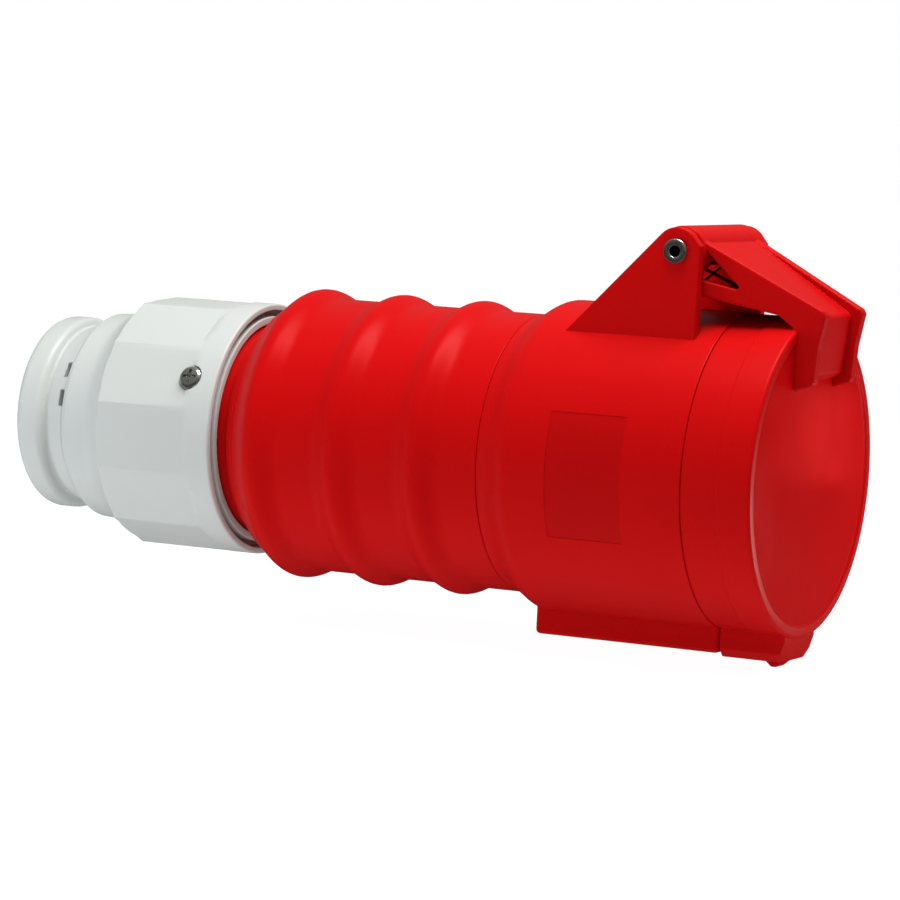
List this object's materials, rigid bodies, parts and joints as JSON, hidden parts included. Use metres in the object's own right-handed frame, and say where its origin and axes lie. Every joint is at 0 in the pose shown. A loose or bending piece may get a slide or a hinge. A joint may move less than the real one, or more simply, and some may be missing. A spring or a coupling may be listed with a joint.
{
  "type": "industrial cable socket",
  "caption": "Red cylindrical cable connector socket with a sprung hinged lid, ribbed grip, round contact insert and a pale grey cable gland.",
  "frame": {"origin": "centre of the contact insert's front face, on the socket's own axis", "axes": "+X along the socket's axis, out of the end with the lid, where the plug goes in; +Z towards the lid's hinge; +Y completes the right-handed set, so the label field is on the -Y side"},
  "size_m": [0.202, 0.072, 0.0979],
  "materials": {
    "red_body": "satin gloss moulded polyamide",
    "grey_gland": "satin gloss moulded polyamide",
    "black_insert": "matt moulded",
    "white_inner": "matt moulded",
    "black_rubber": "matt",
    "contact_brass": "turned",
    "bright_steel": "bright zinc plated"
  },
  "bodies": {
    "socket": {"front_housing": "red_body", "rear_handle": "red_body", "housing_seal": "black_rubber", "contact_carrier": "black_insert", "carrier_back": "black_insert", "contact_earth": "contact_brass", "contact_1": "contact_brass", "contact_2": "contact_brass", "contact_3": "contact_brass", "contact_4": "contact_brass", "terminal_screw_earth": "bright_steel", "terminal_screw_1": "bright_steel", "terminal_screw_2": "bright_steel", "terminal_screw_3": "bright_steel", "terminal_screw_4": "bright_steel", "carrier_screw_1": "bright_steel", "carrier_screw_2": "bright_steel", "carrier_screw_3": "bright_steel", "hinge_pin": "bright_steel", "lid_spring": "bright_steel", "cable_seal": "black_rubber", "thrust_washer": "white_inner"},
    "lid": {"lid": "red_body", "lid_gasket": "black_rubber"},
    "gland_clamp": {"clamp_collet": "white_inner"},
    "gland": {"gland_nut": "grey_gland", "gland_bell": "grey_gland", "nut_lock_screw": "bright_steel"}
  },
  "joints": [
    {"name": "lid_hinge", "type": "hinge", "parent": "socket", "child": "lid", "pos_m": [-0.0143, 0, 0.0494], "axis": [0, -1, 0], "range_deg": [0, 110], "stiffness_Nm_per_rad": 0.1, "springref_deg": -85.94, "deforming": ["lid_spring"]},
    {"name": "gland_travel", "type": "slide", "parent": "socket", "child": "gland_clamp", "axis": [-1, 0, 0], "range_m": [0, 0.003]},
    {"name": "gland_turn", "type": "hinge", "parent": "gland_clamp", "child": "gland", "pos_m": [-0.14, 0, 0], "axis": [-1, 0, 0], "range_deg": [0, 360]}
  ],
  "couplings": [
    {"joint": "gland_travel", "follows": "gland_turn", "m_per_rad": 0.000477}
  ]
}
